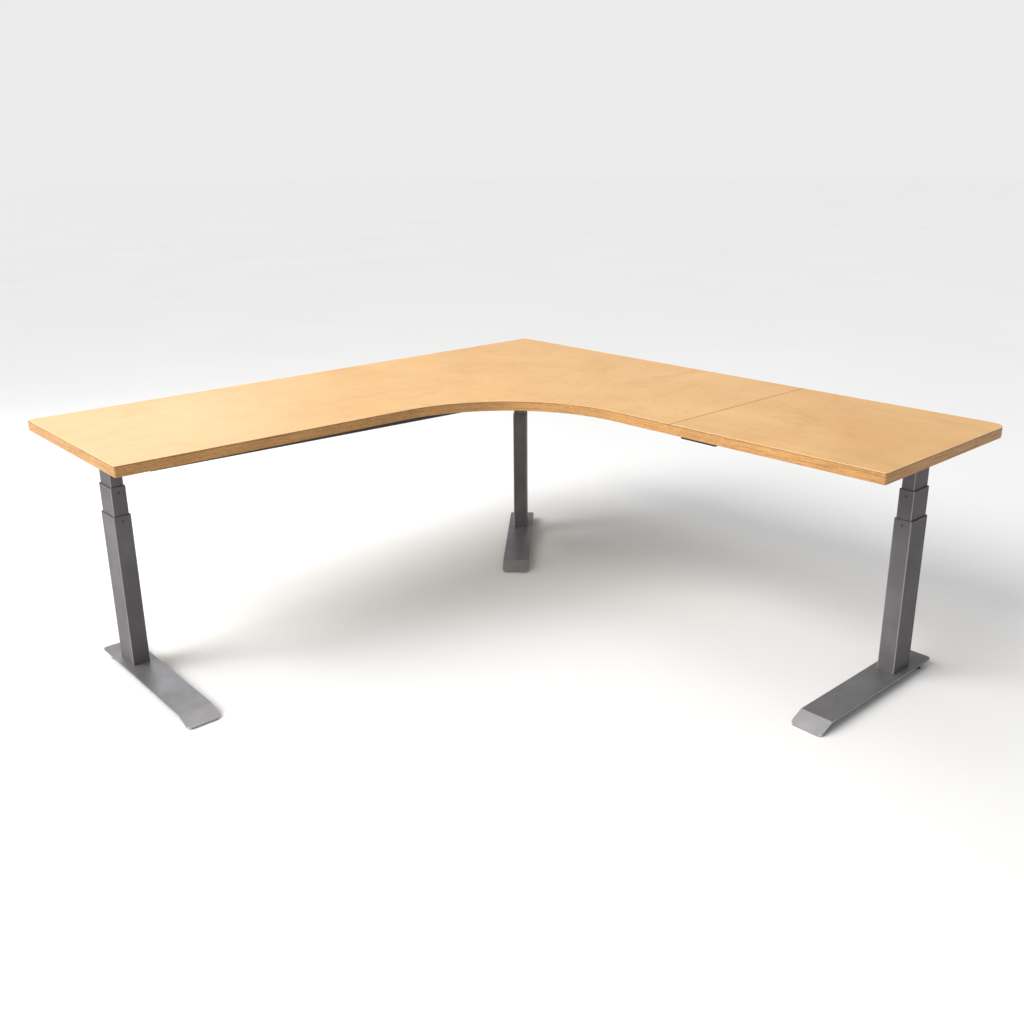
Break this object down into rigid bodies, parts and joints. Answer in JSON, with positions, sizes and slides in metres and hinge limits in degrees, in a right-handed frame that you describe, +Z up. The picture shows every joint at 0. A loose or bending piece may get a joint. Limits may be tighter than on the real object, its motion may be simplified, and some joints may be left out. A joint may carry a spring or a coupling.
{
  "type": "height adjustable standing desk",
  "caption": "L-shaped height adjustable desk: two-piece wooden top with a curved inner corner on motor-driven telescopic columns with long flat feet, raised and lowered from a handset.",
  "frame": {"origin": "on the floor, under the centre of the square that the L-shaped top fills", "axes": "+Z up; the right wing runs along +X and the left wing along -Y from the rear corner of the top, which is at -X +Y"},
  "size_m": [1.92, 1.92, 0.664],
  "materials": {
    "laminate": "satin",
    "edge_band": "satin woodgrain",
    "silver_paint": "satin powder coat",
    "black_paint": "satin powder coat",
    "zinc": "zinc plated",
    "screw_steel": "bright",
    "motor_housing": "cast",
    "black_plastic": "matt",
    "gloss_plastic": "gloss"
  },
  "bodies": {
    "left_base": {"left_foot": "silver_paint", "left_lower_tube": "silver_paint", "left_lower_guide": "black_plastic"},
    "left_middle": {"left_middle_tube": "silver_paint", "left_middle_guide": "black_plastic", "left_nut_tube": "zinc"},
    "desktop": {"worktop_main": "laminate", "worktop_extension": "laminate", "edge_band_main": "edge_band", "edge_band_extension": "edge_band", "splice_plate_1": "zinc", "splice_plate_2": "zinc", "splice_plate_3": "zinc", "left_upper_tube": "silver_paint", "left_gear_motor": "motor_housing", "left_head_bracket": "black_paint", "right_upper_tube": "silver_paint", "right_gear_motor": "motor_housing", "right_head_bracket": "black_paint", "corner_upper_tube": "silver_paint", "corner_gear_motor": "motor_housing", "corner_head_bracket": "black_paint", "left_front_rail": "black_paint", "left_rear_rail": "black_paint", "right_front_rail": "black_paint", "right_rear_rail": "black_paint", "control_box": "black_plastic", "mains_inlet": "black_plastic", "left_motor_lead": "black_plastic", "corner_motor_lead": "black_plastic", "right_motor_lead": "black_plastic", "handset_lead": "black_plastic", "handset_case": "black_plastic", "handset_window": "gloss_plastic"},
    "right_middle": {"right_middle_tube": "silver_paint", "right_middle_guide": "black_plastic", "right_nut_tube": "zinc"},
    "right_base": {"right_foot": "silver_paint", "right_lower_tube": "silver_paint", "right_lower_guide": "black_plastic"},
    "corner_middle": {"corner_middle_tube": "silver_paint", "corner_middle_guide": "black_plastic", "corner_nut_tube": "zinc"},
    "corner_base": {"corner_foot": "silver_paint", "corner_lower_tube": "silver_paint", "corner_lower_guide": "black_plastic"},
    "left_screw": {"left_lead_screw": "screw_steel"},
    "left_leveller_1": {"left_leveller_1": "black_plastic"},
    "left_leveller_2": {"left_leveller_2": "black_plastic"},
    "right_screw": {"right_lead_screw": "screw_steel"},
    "right_leveller_1": {"right_leveller_1": "black_plastic"},
    "right_leveller_2": {"right_leveller_2": "black_plastic"},
    "corner_screw": {"corner_lead_screw": "screw_steel"},
    "corner_leveller_1": {"corner_leveller_1": "black_plastic"},
    "corner_leveller_2": {"corner_leveller_2": "black_plastic"},
    "up_button": {"up_button": "gloss_plastic"},
    "down_button": {"down_button": "gloss_plastic"},
    "memory_1_button": {"memory_1_button": "gloss_plastic"},
    "memory_2_button": {"memory_2_button": "gloss_plastic"},
    "memory_3_button": {"memory_3_button": "gloss_plastic"}
  },
  "joints": [
    {"name": "desk_lift", "type": "slide", "parent": "left_middle", "child": "desktop", "axis": [0, 0, 1], "range_m": [-0.03, 0.3]},
    {"name": "left_lower_lift", "type": "slide", "parent": "left_base", "child": "left_middle", "axis": [0, 0, 1], "range_m": [-0.03, 0.3]},
    {"name": "right_upper_lift", "type": "slide", "parent": "desktop", "child": "right_middle", "axis": [0, 0, -1], "range_m": [-0.03, 0.3]},
    {"name": "right_lower_lift", "type": "slide", "parent": "right_middle", "child": "right_base", "axis": [0, 0, -1], "range_m": [-0.03, 0.3]},
    {"name": "corner_upper_lift", "type": "slide", "parent": "desktop", "child": "corner_middle", "axis": [0, 0, -1], "range_m": [-0.03, 0.3]},
    {"name": "corner_lower_lift", "type": "slide", "parent": "corner_middle", "child": "corner_base", "axis": [0, 0, -1], "range_m": [-0.03, 0.3]},
    {"name": "left_screw_turn", "type": "hinge", "parent": "desktop", "child": "left_screw", "pos_m": [-0.587, -0.879, 0.4], "axis": [0, 0, 1], "continuous": true},
    {"name": "left_leveller_1_turn", "type": "hinge", "parent": "left_base", "child": "left_leveller_1", "pos_m": [-0.677, -0.903, 0], "axis": [0, 0, 1], "range_deg": [0, 1440]},
    {"name": "left_leveller_2_turn", "type": "hinge", "parent": "left_base", "child": "left_leveller_2", "pos_m": [-0.677, -0.855, 0], "axis": [0, 0, 1], "range_deg": [0, 1440]},
    {"name": "right_screw_turn", "type": "hinge", "parent": "desktop", "child": "right_screw", "pos_m": [0.88, 0.633, 0.4], "axis": [0, 0, 1], "continuous": true},
    {"name": "right_leveller_1_turn", "type": "hinge", "parent": "right_base", "child": "right_leveller_1", "pos_m": [0.856, 0.723, 0], "axis": [0, 0, 1], "range_deg": [0, 1440]},
    {"name": "right_leveller_2_turn", "type": "hinge", "parent": "right_base", "child": "right_leveller_2", "pos_m": [0.904, 0.723, 0], "axis": [0, 0, 1], "range_deg": [0, 1440]},
    {"name": "corner_screw_turn", "type": "hinge", "parent": "desktop", "child": "corner_screw", "pos_m": [-0.66, 0.66, 0.4], "axis": [0, 0, 1], "continuous": true},
    {"name": "corner_leveller_1_turn", "type": "hinge", "parent": "corner_base", "child": "corner_leveller_1", "pos_m": [-0.74061, 0.70667, 0], "axis": [0, 0, 1], "range_deg": [0, 1440]},
    {"name": "corner_leveller_2_turn", "type": "hinge", "parent": "corner_base", "child": "corner_leveller_2", "pos_m": [-0.70667, 0.74061, 0], "axis": [0, 0, 1], "range_deg": [0, 1440]},
    {"name": "up_press", "type": "slide", "parent": "desktop", "child": "up_button", "axis": [0, 1, 0], "range_m": [0, 0.001], "stiffness_N_per_m": 600, "springref_m": -0.001},
    {"name": "down_press", "type": "slide", "parent": "desktop", "child": "down_button", "axis": [0, 1, 0], "range_m": [0, 0.001], "stiffness_N_per_m": 600, "springref_m": -0.001},
    {"name": "memory_1_press", "type": "slide", "parent": "desktop", "child": "memory_1_button", "axis": [0, 1, 0], "range_m": [0, 0.001], "stiffness_N_per_m": 600, "springref_m": -0.001},
    {"name": "memory_2_press", "type": "slide", "parent": "desktop", "child": "memory_2_button", "axis": [0, 1, 0], "range_m": [0, 0.001], "stiffness_N_per_m": 600, "springref_m": -0.001},
    {"name": "memory_3_press", "type": "slide", "parent": "desktop", "child": "memory_3_button", "axis": [0, 1, 0], "range_m": [0, 0.001], "stiffness_N_per_m": 600, "springref_m": -0.001}
  ],
  "couplings": [
    {"joint": "left_lower_lift", "follows": "desk_lift", "ratio": 1},
    {"joint": "right_upper_lift", "follows": "desk_lift", "ratio": 1},
    {"joint": "right_lower_lift", "follows": "desk_lift", "ratio": 1},
    {"joint": "corner_upper_lift", "follows": "desk_lift", "ratio": 1},
    {"joint": "corner_lower_lift", "follows": "desk_lift", "ratio": 1},
    {"joint": "left_screw_turn", "follows": "desk_lift", "rad_per_m": 314.16},
    {"joint": "right_screw_turn", "follows": "desk_lift", "rad_per_m": 314.16},
    {"joint": "corner_screw_turn", "follows": "desk_lift", "rad_per_m": 314.16}
  ]
}
